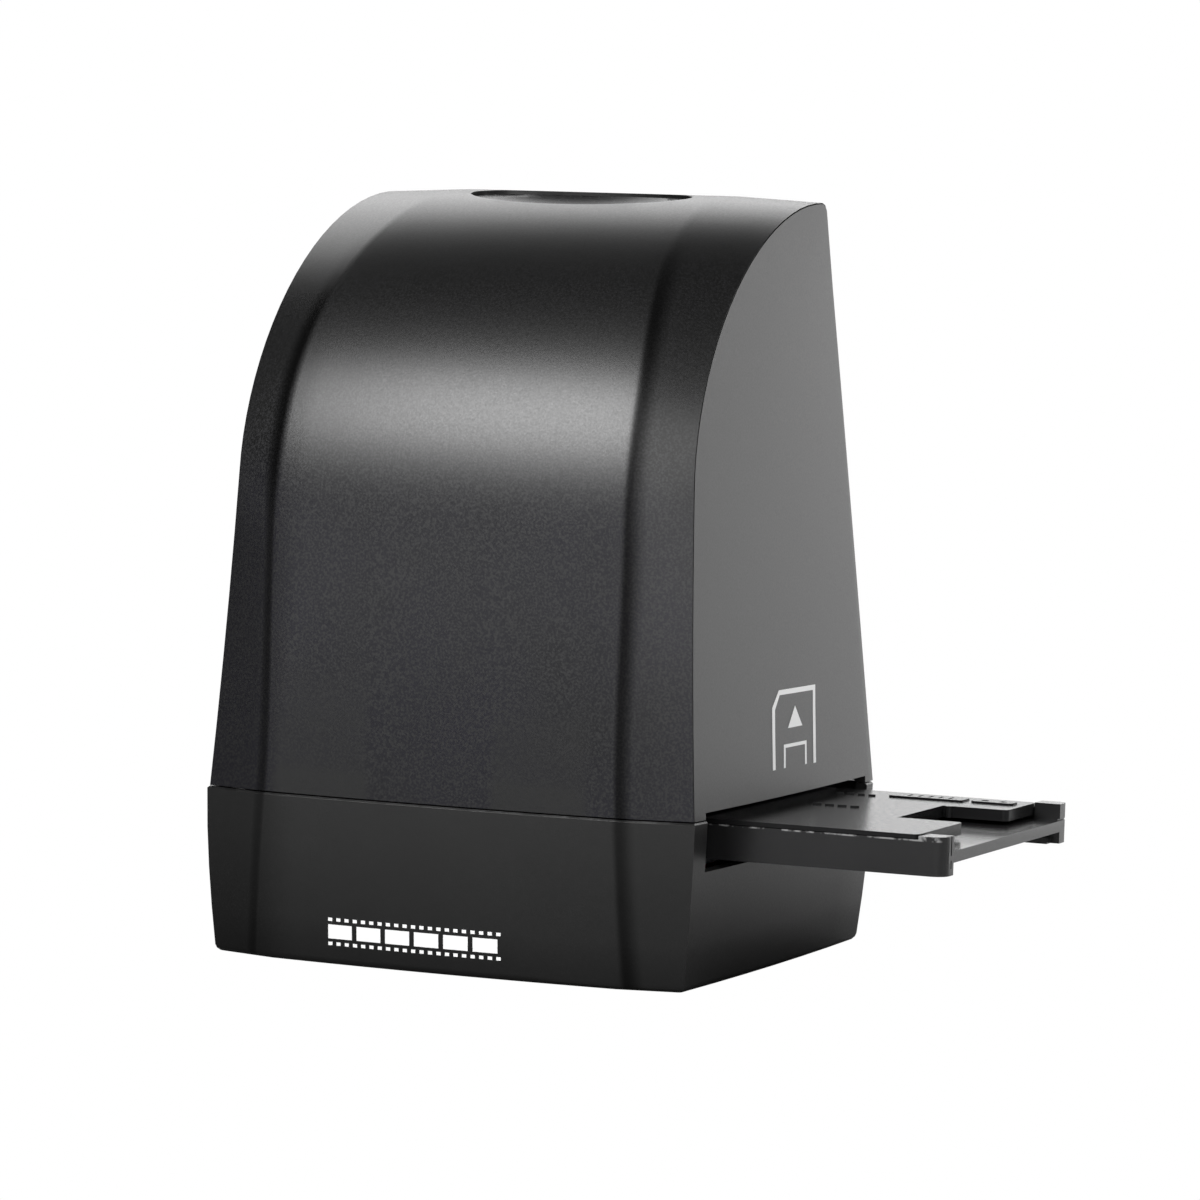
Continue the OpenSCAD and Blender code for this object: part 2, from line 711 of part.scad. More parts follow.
module inner_chassis() {
    color("#8d8d90")
    difference() {
        union() {
            // floor plate over the film track
            block([-track_half, -corner_depth + wall + 1.4, chassis_z],
                  [track_half, track_rear_y + guide_t - 0.6, plate_low_z]);
            for (sx = [-1, 1])
                translate([sx * side_plate_x - chassis_t / 2, 0, 0]) side_plate();
            // bridge that carries the camera
            block([-side_plate_x, axis_y - camera_half, bridge_z],
                  [side_plate_x, axis_y + camera_half, bridge_top_z]);
            at(camera_screw_places) post(chassis_post_r, bridge_z, camera_board_z);
            at(button_post_places) post(chassis_post_r, bridge_z, button_board_z);
            // two upright shields behind the front cover
            for (span = shield_spans)
                block([span[0], shield_y, chassis_z], [span[1], shield_y + shield_t, shield_top_z]);
            // bosses for the main board, on brackets between the side plates
            for (p = main_screw_places)
                translate([p[0], main_board_y, p[1]]) rotate([90, 0, 0])
                    post(chassis_post_r, 0, 3 + bracket_t);
            for (sx = [-1, 1])
                block([sx * side_plate_x - 4 - 4 * sx, main_board_y - 3 - bracket_t, plate_low_z - 0.5],
                      [sx * side_plate_x + 4 - 4 * sx, main_board_y - 3, main_board_high_z]);
        }
        film_window(chassis_z - cut, plate_low_z + cut, 1);
        block([-lens_hole, axis_y - lens_hole, bridge_z - cut],
              [lens_hole, axis_y + lens_hole, camera_board_z + cut]);
        at(camera_screw_places) post(screw_r + touch, bridge_z - cut, camera_board_z + cut);
        at(button_post_places)
            post(screw_r + touch, button_board_z - board_screw_l - 1, button_board_z + cut);
        for (p = main_screw_places)
            translate([p[0], main_board_y, p[1]]) rotate([90, 0, 0])
                post(screw_r + touch, -cut, 3 + bracket_t - 0.5);
        at(front_screw_places) post(screw_r + 0.1, chassis_z - cut, plate_low_z + cut);
        at(rear_screw_places) post(post_r + 0.3, chassis_z - cut, plate_low_z + cut);
    }
}

tunnel_t = 1.5;
tunnel_top_z = bridge_z - 15;
tunnel_low = [light_room[0] + tunnel_t, light_room[1] + tunnel_t];
tunnel_high = [9, 8];
module light_tunnel() {
    color("#1b1b1c")
    difference() {
        union() {
            // flange on the chassis plate
            block([-light_board_half[0], axis_y - light_board_half[1] + 1, plate_low_z],
                  [light_board_half[0], axis_y + light_board_half[1] - 1, plate_low_z + tunnel_t]);
            hull() {
                block([-tunnel_low[0], axis_y - tunnel_low[1], plate_low_z],
                      [tunnel_low[0], axis_y + tunnel_low[1], plate_low_z + 0.5]);
                block([-tunnel_high[0], axis_y - tunnel_high[1], tunnel_top_z - 0.5],
                      [tunnel_high[0], axis_y + tunnel_high[1], tunnel_top_z]);
            }
        }
        hull() {
            block([-light_room[0], axis_y - light_room[1], plate_low_z - 0.1],
                  [light_room[0], axis_y + light_room[1], plate_low_z]);
            block([-tunnel_high[0] + tunnel_t, axis_y - tunnel_high[1] + tunnel_t, tunnel_top_z],
                  [tunnel_high[0] - tunnel_t, axis_y + tunnel_high[1] - tunnel_t, tunnel_top_z + 0.1]);
        }
    }
}

holder_half = barrel_r + 1.05;
lens_hole = holder_half + 0.5;
sensor_room = 5.8;
lens_holder_z = bridge_z - lens_drop;
module lens_holder() {
    color("#1d1d1f")
    difference() {
        block([-holder_half, axis_y - holder_half, lens_holder_z],
              [holder_half, axis_y + holder_half, camera_board_z]);
        translate([0, axis_y, 0]) post(barrel_r + touch, lens_holder_z - cut, camera_board_z + cut);
        block([-sensor_room, axis_y - sensor_room, bridge_z],
              [sensor_room, axis_y + sensor_room, camera_board_z + cut]);
    }
}

barrel_h = 12;
barrel_low_z = lens_holder_z - barrel_h / 2;
barrel_bore = 3.2;
glass_r = 4.4;
module lens_barrel() {
    color("#161617")
    translate([0, axis_y, barrel_low_z])
        rotate_extrude()
            polygon([
                [glass_r, 0], [barrel_r + 1.2, 0], [barrel_r + 1.2, 3], [barrel_r, 3.6],
                [barrel_r, barrel_h], [barrel_bore, barrel_h], [barrel_bore, 3], [glass_r, 3]
            ]);
}
module lens_glass() {
    color("#8fa6b8")
    translate([0, axis_y, barrel_low_z])
        rotate_extrude()
            polygon(concat(
                [[0, 3 - touch], [glass_r - touch, 3 - touch]],
                [for (i = [8 : -1 : 0]) [(glass_r - touch) * i / 8, 1.6 - 1.1 * (1 - pow(i / 8, 2))]]
            ));
}

sensor_half = 4.5;
module image_sensor() {
    color("#31414d")
    block([-sensor_half, axis_y - sensor_half, camera_board_z - 1.2],
          [sensor_half, axis_y + sensor_half, camera_board_z]);
}

camera_top_z = camera_board_z + board_t;
module camera_board() {
    color("#1f5a3a")
    difference() {
        block([-camera_half, axis_y - camera_half, camera_board_z],
              [camera_half, axis_y + camera_half, camera_top_z]);
        at(camera_screw_places) post(screw_r + screw_loose, camera_board_z - cut, camera_top_z + cut);
    }
}

board_screw_l = 5;
button_top_z = button_board_z + board_t;
module board_screws() {
    color("#a9abad")
    {
        at(camera_screw_places) translate([0, 0, camera_top_z]) mirror([0, 0, 1]) screw(board_screw_l);
        at(button_post_places) translate([0, 0, button_top_z]) mirror([0, 0, 1]) screw(board_screw_l);
        for (p = main_screw_places)
            translate([p[0], main_board_y + board_t, p[1]]) rotate([90, 0, 0]) screw(board_screw_l);
    }
}

module main_board() {
    color("#1f5a3a")
    difference() {
        block([-main_board_half, main_board_y, main_board_low_z],
              [main_board_half, main_board_y + board_t, main_board_high_z]);
        for (p = main_screw_places)
            translate([p[0], main_board_y, p[1]]) rotate([90, 0, 0])
                post(screw_r + screw_loose, -board_t - cut, cut);
    }
}

// Each chip: middle across and up, width, height and thickness
chips = [[-2, 10.8, 10, 10, 1.2], [12, 12.3, 8, 5, 1], [11.5, 22.3, 5, 5, 1]];
module controller_chips() {
    color("#262626")
    for (c = chips)
        translate([c[0] - c[2] / 2, main_board_y - c[4], main_board_low_z + c[1] - c[3] / 2])
            cube([c[2], c[4], c[3]]);
}

inlet_mouth_y = rear_y(inlet_z) - 0.5;
inlet_back_y = main_board_y + board_t;
inlet_t = 0.4;
tongue = [5.2, 1];
module usb_socket() {
    color("#c3c5c8")
    difference() {
        block([-inlet_w / 2, inlet_back_y, inlet_z - inlet_h / 2],
              [inlet_w / 2, inlet_mouth_y, inlet_z + inlet_h / 2]);
        difference() {
            block([-inlet_w / 2 + inlet_t, inlet_back_y + 2.5, inlet_z - inlet_h / 2 + inlet_t],
                  [inlet_w / 2 - inlet_t, inlet_mouth_y + cut, inlet_z + inlet_h / 2 - inlet_t]);
            block([-tongue[0] / 2, inlet_back_y, inlet_z - tongue[1] / 2],
                  [tongue[0] / 2, inlet_mouth_y - 1, inlet_z + tongue[1] / 2]);
        }
    }
}

// Internal cables

cable_w = 11;
cable_t = 0.7;
wire_w = 3;
wire_t = 1;
wire_x = 14;
plug = [cable_w + 2, 4, 2];
high_plug = [axis_y + camera_half - 5.5, camera_top_z];
plug_out = 2.4;
low_plug_in = 12;
low_plug = [main_board_y - plug_out, main_board_high_z - low_plug_in];
wire_plug_y = main_board_y + board_t + plug_out;
module ribbon_connectors() {
    color("#e5dfcf")
    {
        block([-plug[0] / 2, high_plug[0], high_plug[1]],
              [plug[0] / 2, high_plug[0] + plug[1], high_plug[1] + plug[2]]);
        block([-plug[0] / 2, low_plug[0], low_plug[1]], [plug[0] / 2, main_board_y, low_plug[1] + plug[1]]);
        block([wire_x - 3, main_board_y + board_t, inlet_z - 2], [wire_x + 3, wire_plug_y, inlet_z + 2]);
    }
}

// A flat cable of even thickness along a path in the YZ plane
module flat_cable(path, width, thick) {
    n = len(path);
    normals = [for (i = [0 : n - 1])
        let (d = path[min(i + 1, n - 1)] - path[max(i - 1, 0)]) [-d[1], d[0]] / norm(d)];
    rotate([90, 0, 90])
        translate([0, 0, -width / 2])
            linear_extrude(height = width)
                polygon(concat(
                    [for (i = [0 : n - 1]) path[i] + normals[i] * thick / 2],
                    [for (i = [n - 1 : -1 : 0]) path[i] - normals[i] * thick / 2]
                ));
}
function bend(centre, r, from, to) = [for (i = [0 : 5]) let (a = mix(from, to, i / 5))
    centre + r * [cos(a), sin(a)]];

// It leaves the camera board backwards, turns down and enters the lower connector from above
module ribbon_cable() {
    drop_y = axis_y + camera_half + 2.8;
    entry_y = low_plug[0] + 1.2;
    color("#d8d8d2")
    flat_cable(
        concat(
            [[high_plug[0] + plug[1], high_plug[1] + plug[2] / 2]],
            bend([drop_y - 2, high_plug[1] + plug[2] / 2 - 2], 2, 90, 0),
            [[entry_y, main_board_high_z + 3], [entry_y, low_plug[1] + plug[1]]]
        ),
        cable_w, cable_t
    );
}

// It leaves the light board backwards, climbs behind the film track and turns to the main board
module backlight_cable() {
    start = [axis_y + light_board_half[1], light_board_z + board_t / 2];
    climb_y = track_rear_y + guide_t + cable_space / 2 - 0.3;
    color("#b8342c")
    translate([wire_x, 0, 0])
        flat_cable(
            concat(
                [start],
                bend([climb_y - 3, start[1] + 3], 3, -90, 0),
                bend([climb_y - 2, inlet_z - 2], 2, 0, 90),
                [[wire_plug_y, inlet_z]]
            ),
            wire_w, wire_t
        );
}

// Scan button

switch_half = 3;
switch_h = 3.5;
plunger_r = 1.7;
switch_top_z = button_top_z + switch_h;
plunger_top_z = switch_top_z + 1;
module button_board() {
    color("#1f5a3a")
    difference() {
        block([-button_a - 4.1, button_y - 2 * switch_half, button_board_z],
              [button_a + 4.1, button_y + 2 * switch_half, button_top_z]);
        at(button_post_places) post(screw_r + screw_loose, button_board_z - cut, button_top_z + cut);
    }
}
module tact_switch() {
    color("#2f2f31")
    difference() {
        block([-switch_half, button_y - switch_half, button_top_z],
              [switch_half, button_y + switch_half, switch_top_z]);
        translate([0, button_y, 0]) post(plunger_r + touch, switch_top_z - 2, switch_top_z + cut);
    }
}
module switch_plunger() {
    color("#d9d6cc")
    translate([0, button_y, 0]) post(plunger_r, switch_top_z - 1, plunger_top_z);
}

oval_points = 40;
// One oval ring of the button: grown by an amount, scaled, and lying a depth under the housing's top
function oval_ring(grow, scale_to, depth) = [for (i = [0 : oval_points - 1])
    let (
        a = i * 360 / oval_points,
        x = (button_a + grow) * scale_to * cos(a),
        y = button_y + (button_b + grow) * scale_to * sin(a)
    )
    [x, y, top_z_at(y) - depth]];
function dish(s) = button_recess + dish_depth * (1 - s * s);
flange_depth = wall + 0.35;
button_rings = concat(
    [for (s = [0.08, 0.3, 0.5, 0.7, 0.85, 0.96]) oval_ring(0, s, dish(s))],
    [
        oval_ring(0, 1, button_recess + 0.25),
        oval_ring(0, 1, flange_depth),
        oval_ring(1.2, 1, flange_depth),
        oval_ring(1.2, 1, flange_depth + 1),
        oval_ring(-button_t, 1, flange_depth + 1)
    ],
    [for (s = [0.88, 0.7, 0.4, 0.08]) oval_ring(-button_t, s, dish(s) + button_t)]
);
module scan_button() {
    color("#1a1a1b")
    union() {
        ring_stack([for (i = [len(button_rings) - 1 : -1 : 0]) button_rings[i]]);
        translate([0, button_y, plunger_top_z])
            cylinder(r = 2.4, h = top_z_at(button_y) - dish(0) - 0.4 - plunger_top_z);
    }
}

// Film holder

holder_left = holder_out - holder_l;
frame_pitch = frame_l + frame_bar;
frame_places = [for (i = [-0.5, 0.5]) [holder_out - frames_in + i * frame_pitch, axis_y]];
holder_front_y = axis_y - holder_w / 2;
holder_rear_y = axis_y + holder_w / 2;
inner_half = holder_w / 2 - rail_t;
cap_x = holder_out - cap_l;
front_cap_w = 4.3;
rear_cap_w = 4;
rear_cap_r = 1.5;
lid_gap = 0.15;
lid_left = holder_left + 4;
lid_right = cap_x - lid_gap;
lid_rear_y = axis_y + inner_half - lid_gap;
notch_x = lid_right - notch_l;
notch_front_y = axis_y - 9;
notch_rear_y = notch_front_y + notch_w;
rim_low_z = rail_top_z + 0.1;
knuckle_r = 1.25;
pin_r = 0.6;
knuckle_y = holder_rear_y - knuckle_r - 0.1;
knuckle_z = rail_top_z - knuckle_r + 0.1;
knuckle_l = 20;
knuckle_mids = [lid_left + 0.7 * knuckle_l, notch_x - 0.6 * knuckle_l];

// A flat rectangle with one rounded corner at its high x and low y
module one_round(low, high, r) {
    translate(low) square([high[0] - low[0] - r, high[1] - low[1]]);
    translate(low + [0, r]) square([high[0] - low[0], high[1] - low[1] - r]);
    intersection() {
        translate([high[0] - r, low[1] + r]) circle(r);
        translate(low) square(high - low);
    }
}
module all_round(low, high, r) {
    translate((low + high) / 2) rounded_rect(high - low, r);
}
module windows(z0, z1) {
    for (p = frame_places)
        block([p[0] - frame_l / 2, p[1] - frame_h / 2, z0], [p[0] + frame_l / 2, p[1] + frame_h / 2, z1]);
}

module end_blocks() {
    translate([0, 0, holder_z])
        linear_extrude(height = rail_h + 0.6)
            one_round([cap_x, holder_front_y], [holder_out, holder_front_y + front_cap_w], front_cap_r);
    translate([0, 2 * holder_rear_y, holder_z])
        mirror([0, 1, 0])
            linear_extrude(height = rail_h + 0.95)
                one_round([cap_x, holder_rear_y], [holder_out, holder_rear_y + rear_cap_w], rear_cap_r);
    // foot and two rivets in front of the rear block
    block([cap_x - 1, holder_rear_y - rear_cap_w - 2, holder_z],
          [holder_out - 1.5, holder_rear_y - rear_cap_w + 0.5, holder_z + 1.1]);
    for (x = [1.2, 2.8])
        translate([cap_x + x, holder_rear_y - rear_cap_w + 0.5, floor_low_z + 0.2])
            rotate([90, 0, 0]) cylinder(r = 0.5, h = 0.8);
}

module holder_base() {
    color("#1c1c1e")
    difference() {
        union() {
            // edge rails
            for (y = [holder_front_y, holder_rear_y - rail_t])
                translate([0, 0, holder_z])
                    linear_extrude(height = rail_h)
                        all_round([holder_left, y], [holder_out - front_cap_r, y + rail_t],
                                  rail_t / 2 - 0.2);
            // floor, raised over the underside of the rails
            block([holder_left + 1, axis_y - inner_half - 0.5, floor_low_z],
                  [holder_out, axis_y + inner_half + 0.5, film_z]);
            // two ribs that guide the film's edges
            for (sy = [-1, 1])
                block([holder_left + 1, axis_y + sy * (film_w / 2 + 0.5) - 0.5, film_z - 0.5],
                      [notch_x - 4, axis_y + sy * (film_w / 2 + 0.5) + 0.5, lid_bottom_z - lid_gap]);
            end_blocks();
        }
        windows(holder_z - cut, lid_top_z + cut);
        // slots in the end face of the front block, and a groove round the rear one
        block([holder_out - 1, holder_front_y + 2.8, film_z - 0.6],
              [holder_out + cut, holder_front_y + 3.3, lid_top_z + cut]);
        block([holder_out - 0.6, holder_front_y + 2.9, holder_z + 1.1],
              [holder_out + cut, holder_front_y + 3.3, holder_z + 2.4]);
        block([holder_out - 0.4, holder_rear_y - rear_cap_w - cut, film_z],
              [holder_out + cut, holder_rear_y + cut, film_z + 0.3]);
        block([cap_x - cut, holder_rear_y - 0.4, film_z],
              [holder_out + cut, holder_rear_y + cut, film_z + 0.3]);
        // beds of the lid's knuckles, and sockets for its hinge pins
        for (x = knuckle_mids) {
            translate([x - knuckle_l / 2 - lid_gap, knuckle_y, knuckle_z])
                rotate([0, 90, 0]) cylinder(r = knuckle_r + lid_gap, h = knuckle_l + 2 * lid_gap);
            block([x - knuckle_l / 2 - lid_gap, axis_y + inner_half - cut, knuckle_z - knuckle_r * 0.2],
                  [x + knuckle_l / 2 + lid_gap, holder_rear_y + cut, rail_top_z + cut]);
            translate([x - knuckle_l / 2 - 1.6, knuckle_y, knuckle_z])
                rotate([0, 90, 0]) cylinder(r = pin_r + touch, h = knuckle_l + 3.2);
        }
        // rests for the leaf spring, one behind each frame
        for (p = frame_places)
            translate([p[0], holder_rear_y + 1.7, 0]) post(2.2, holder_z - cut, film_z - 0.4);
    }
}

// The lid's outline, with an arm on each side of the thumb notch
module lid_shape(front_y) {
    all_round([lid_left, front_y], [notch_x, lid_rear_y], 2 * arm_r);
    all_round([notch_x - 4 * arm_r, front_y], [lid_right, notch_front_y], arm_r);
    all_round([notch_x - 4 * arm_r, notch_rear_y], [lid_right, lid_rear_y], arm_r);
}

// Raised marks that show which way the holder goes in: two rows of dashes, a ribbed bar and a ring
mark_y = lid_rear_y - 6;
mark_rows_in = 17.5;
module marks() {
    row_x = notch_x - mark_rows_in;
    for (i = [0 : 3]) {
        translate([row_x + 2.2 * i, axis_y + 0.5]) rotate([0, 0, 20]) square([1.5, 0.6], center = true);
        translate([row_x - 3 + 1.9 * i, mark_y - 3]) rotate([0, 0, 20]) square([1.2, 0.6], center = true);
    }
    difference() {
        all_round([notch_x - 12.2, mark_y - 2.2], [notch_x + 0.8, mark_y + 2.2], 0.5);
        for (i = [0 : 4]) translate([notch_x - 9 + 1.8 * i, mark_y]) square([0.5, 2.4], center = true);
    }
    difference() {
        all_round([notch_x + 2, mark_y - 1.6], [notch_x + 9.4, mark_y + 2], 1);
        for (x = [4.1, 7.3]) translate([notch_x + x, mark_y + 0.2]) scale(0.7) circle(1);
    }
}

module holder_lid() {
    color("#202022")
    difference() {
        union() {
            // thin rim over the front rail, and the plate between the rails
            translate([0, 0, rim_low_z])
                linear_extrude(height = lid_top_z - rim_low_z) lid_shape(holder_front_y + 0.2);
            translate([0, 0, lid_bottom_z])
                linear_extrude(height = rim_low_z + 0.2 - lid_bottom_z)
                    lid_shape(holder_front_y + rail_t + lid_gap);
            translate([0, 0, lid_top_z - 0.1]) linear_extrude(height = mark_h + 0.1) marks();
            translate([notch_x + 1, notch_rear_y, lid_bottom_z]) cylinder(r = 0.6, h = lid_t);
            // pressure frames round the windows
            for (p = frame_places)
                block([p[0] - frame_l / 2 - 0.8, p[1] - frame_h / 2 - 2, film_z + 0.2],
                      [p[0] + frame_l / 2 + 0.8, p[1] + frame_h / 2 + 2, lid_bottom_z + 0.2]);
            // hinge knuckles with their pins
            for (x = knuckle_mids) {
                translate([x - knuckle_l / 2, knuckle_y, knuckle_z])
                    rotate([0, 90, 0]) cylinder(r = knuckle_r, h = knuckle_l);
                block([x - knuckle_l / 2, lid_rear_y - 1, knuckle_z],
                      [x + knuckle_l / 2, knuckle_y, knuckle_z + knuckle_r]);
                translate([x - knuckle_l / 2 - 1.4, knuckle_y, knuckle_z])
                    rotate([0, 90, 0]) cylinder(r = pin_r, h = knuckle_l + 2.8);
            }
        }
        windows(holder_z, lid_top_z + cut);
    }
}

base_shell();
rubber_feet();
base_screws();
front_cover();
rear_shell();
backlight_board();
backlight_leds();
reflector_box();
diffuser_plate();
backlight_screws();
film_track();
detent_spring();
inner_chassis();
light_tunnel();
lens_barrel();
lens_glass();
lens_holder();
image_sensor();
camera_board();
board_screws();
main_board();
controller_chips();
usb_socket();
ribbon_connectors();
ribbon_cable();
backlight_cable();
button_board();
tact_switch();
switch_plunger();
scan_button();
holder_base();
holder_lid();
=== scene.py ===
"""Looks for the film negative scanner: visible shells, materials, prints, light and camera."""

import json
import math

import bmesh
import bpy
from mathutils import Matrix, Vector
from mathutils.bvhtree import BVHTree


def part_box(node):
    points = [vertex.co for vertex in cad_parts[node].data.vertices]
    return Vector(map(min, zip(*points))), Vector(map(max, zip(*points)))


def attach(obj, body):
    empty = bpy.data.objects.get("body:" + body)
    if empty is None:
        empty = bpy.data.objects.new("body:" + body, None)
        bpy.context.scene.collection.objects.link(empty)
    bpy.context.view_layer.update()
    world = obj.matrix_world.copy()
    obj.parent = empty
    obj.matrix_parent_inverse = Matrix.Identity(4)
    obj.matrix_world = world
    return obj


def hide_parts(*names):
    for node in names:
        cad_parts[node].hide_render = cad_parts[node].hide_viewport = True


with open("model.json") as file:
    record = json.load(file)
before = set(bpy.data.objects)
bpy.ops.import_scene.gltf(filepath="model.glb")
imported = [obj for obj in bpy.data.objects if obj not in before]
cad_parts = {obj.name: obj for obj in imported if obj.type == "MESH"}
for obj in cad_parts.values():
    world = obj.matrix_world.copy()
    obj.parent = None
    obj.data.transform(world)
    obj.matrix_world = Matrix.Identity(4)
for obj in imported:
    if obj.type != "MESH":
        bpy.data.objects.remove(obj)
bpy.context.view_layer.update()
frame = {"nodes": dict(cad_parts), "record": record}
NODES = frame["nodes"]

slots = {s["node"]: s["material_slot"] for s in frame["record"]["subparts"]}
BODY = {n: b for b, nodes in frame["record"]["behaviour"]["bodies"].items() for n in nodes}

# The housing's form as part.scad has it, in metres
SEAM = 0.0276  # height of the seam
CORNER_RISE = 0.0983  # from the seam up to the top of the corner edges
TOP_HALF = 0.03915  # half width at the top
SEAM_EXTRA = 0.0035  # how much wider that half is at the seam
PANEL_SHARE = 0.77  # half width of the front panel as a share of the housing's
PANEL_NARROWING = 0.15  # how much of that share is lost towards the top
NARROWS_FROM = 0.0900  # height where the loss starts
NARROWS_OVER = 0.0359  # from there up to the top of the corner edges
RAIL_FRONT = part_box("holder_base")[0][1]
SHIELDS = [(-0.0306, -0.0120, 0.0512), (0.0084, 0.0262, 0.0470)]  # left, right and top

# Edge radii of the visible copies, in metres
SOFT_EDGES = {
    "front_cover": 0.0003, "rear_shell": 0.0001, "base_shell": 0.0002,
    "scan_button": 0.0001, "holder_base": 0.0002, "holder_lid": 0.0002,
}
SMOOTH_BELOW = math.radians(28)  # faces that meet at less than this look like one surface
WELD = 2e-6
PRINT_LIFT = 0.00004  # how far a print stands off its surface
PRINT_CELL = 0.0012  # longest edge in a print's mesh, so that it follows a curve


# Materials

def grey(value):
    return (value, value, value)


def scaled(colour, factor):
    return tuple(min(1.0, c * factor) for c in colour)


class Look:
    """A material under construction: one Principled shader and the nodes in front of it."""

    def __init__(self, name):
        self.mat = bpy.data.materials.new(name)
        self.mat.use_nodes = True
        self.tree = self.mat.node_tree
        self.bsdf = next(n for n in self.tree.nodes if n.type == "BSDF_PRINCIPLED")
        self.out = next(n for n in self.tree.nodes if n.type == "OUTPUT_MATERIAL")
        self.where = self.new("ShaderNodeTexCoord").outputs["Object"]
        self.normal = None

    def new(self, kind):
        return self.tree.nodes.new(kind)

    def link(self, source, target):
        self.tree.links.new(source, target)

    def feed(self, source, socket):
        self.link(source, self.bsdf.inputs[socket])

    def set(self, **values):
        for key, value in values.items():
            self.bsdf.inputs[key.replace("_", " ")].default_value = value

    def noise(self, scale, detail=3.0, roughness=0.55, stretch=None):
        node = self.new("ShaderNodeTexNoise")
        node.inputs["Scale"].default_value = scale
        node.inputs["Detail"].default_value = detail
        node.inputs["Roughness"].default_value = roughness
        source = self.where
        if stretch:
            mapping = self.new("ShaderNodeMapping")
            mapping.inputs["Scale"].default_value = stretch
            self.link(source, mapping.inputs["Vector"])
            source = mapping.outputs["Vector"]
        self.link(source, node.inputs["Vector"])
        return node.outputs["Fac"]

    def ramp(self, fac, low_colour, high_colour):
        """One colour up to 0.3 and another from 0.7, which is where most of a noise lies."""
        node = self.new("ShaderNodeValToRGB")
        stops = ((0.3, low_colour), (0.7, high_colour))
        for element, (place, colour) in zip(node.color_ramp.elements, stops):
            element.position = place
            element.color = (*colour, 1.0)
        self.link(fac, node.inputs["Fac"])
        return node.outputs["Color"]

    def map_range(self, value, from_low, from_high, low, high, kind="LINEAR"):
        node = self.new("ShaderNodeMapRange")
        node.interpolation_type = kind
        node.inputs["From Min"].default_value = from_low
        node.inputs["From Max"].default_value = from_high
        node.inputs["To Min"].default_value = low
        node.inputs["To Max"].default_value = high
        self.link(value, node.inputs["Value"])
        return node.outputs["Result"]

    def span(self, value, low, high, from_low=0.3, from_high=0.7):
        return self.map_range(value, from_low, from_high, low, high)

    def step(self, value, start, end):
        """0 at the start and 1 at the end, softly, in either direction."""
        if start > end:
            return self.map_range(value, end, start, 1.0, 0.0, "SMOOTHSTEP")
        return self.map_range(value, start, end, 0.0, 1.0, "SMOOTHSTEP")

    def axes(self):
        node = self.new("ShaderNodeSeparateXYZ")
        self.link(self.where, node.inputs[0])
        return node.outputs[0], node.outputs[1], node.outputs[2]

    def math(self, operation, a, b=0.0):
        node = self.new("ShaderNodeMath")
        node.operation = operation
        for socket, value in zip(node.inputs, (a, b)):
            if isinstance(value, (int, float)):
                socket.default_value = value
            else:
                self.link(value, socket)
        return node.outputs[0]

    def add(self, a, b):
        return self.math("ADD", a, b)

    def minus(self, a, b):
        return self.math("SUBTRACT", a, b)

    def most(self, a, b):
        return self.math("MAXIMUM", a, b)

    def times(self, product, *factors):
        for factor in factors:
            product = self.math("MULTIPLY", product, factor)
        return product

    def blend(self, fac, a, b):
        """Colour a at 0 and b at 1, where either may be a socket or three numbers."""
        node = self.new("ShaderNodeMix")
        node.data_type = "RGBA"
        self.link(fac, node.inputs[0])
        for socket, value in ((node.inputs[6], a), (node.inputs[7], b)):
            if isinstance(value, tuple):
                socket.default_value = (*value, 1.0)
            else:
                self.link(value, socket)
        return node.outputs[2]

    def recolour(self, fac, colour):
        """Blends another colour over the one the look has so far."""
        before = self.bsdf.inputs["Base Color"].links[0].from_socket
        self.feed(self.blend(fac, before, colour), "Base Color")

    def bump(self, height, depth):
        """Adds relief of a depth in metres to what is there already."""
        node = self.new("ShaderNodeBump")
        node.inputs["Strength"].default_value = 1.0
        node.inputs["Distance"].default_value = depth
        self.link(height, node.inputs["Height"])
        if self.normal is not None:
            self.link(self.normal, node.inputs["Normal"])
        self.normal = node.outputs["Normal"]
        self.feed(self.normal, "Normal")


def plastic(name, colour, rough=0.4, grain=0.0003, depth=0.00001, mottle=0.12,
            specular=0.5, coat=0.0):
    """Moulded plastic: a slight colour drift, a fine moulded grain and uneven gloss."""
    look = Look(name)
    drift = look.ramp(look.noise(60, 4), scaled(colour, 1 - mottle), scaled(colour, 1 + mottle))
    look.feed(drift, "Base Color")
    fine = look.noise(1 / grain, 2, 0.5)
    look.feed(look.span(fine, rough * 0.9, rough * 1.1), "Roughness")
    look.bump(fine, depth)
    look.set(Specular_IOR_Level=specular, Coat_Weight=coat, Coat_Roughness=0.08)
    return look


def metal(name, colour, rough=0.25, stretch=(1, 1, 30)):
    """Drawn or rolled metal with fine lines across the stretched axis."""
    look = Look(name)
    lines = look.noise(900, 3, 0.6, stretch)
    look.feed(look.ramp(lines, scaled(colour, 0.85), colour), "Base Color")
    look.feed(look.span(lines, rough * 0.8, rough * 1.3), "Roughness")
    look.bump(lines, 0.000004)
    look.set(Metallic=1.0)
    return look


def board(name):
    """Circuit board: solder mask with faint tracks under it."""
    look = Look(name)
    tracks = look.new("ShaderNodeTexBrick")
    tracks.inputs["Scale"].default_value = 260
    tracks.inputs["Mortar Size"].default_value = 0.03
    tracks.inputs["Color1"].default_value = (0.02, 0.10, 0.045, 1)
    tracks.inputs["Color2"].default_value = (0.025, 0.13, 0.055, 1)
    tracks.inputs["Mortar"].default_value = (0.05, 0.20, 0.09, 1)
    look.link(look.where, tracks.inputs["Vector"])
    look.feed(tracks.outputs["Color"], "Base Color")
    look.bump(look.noise(1500, 2), 0.000004)
    look.set(Roughness=0.35)
    return look


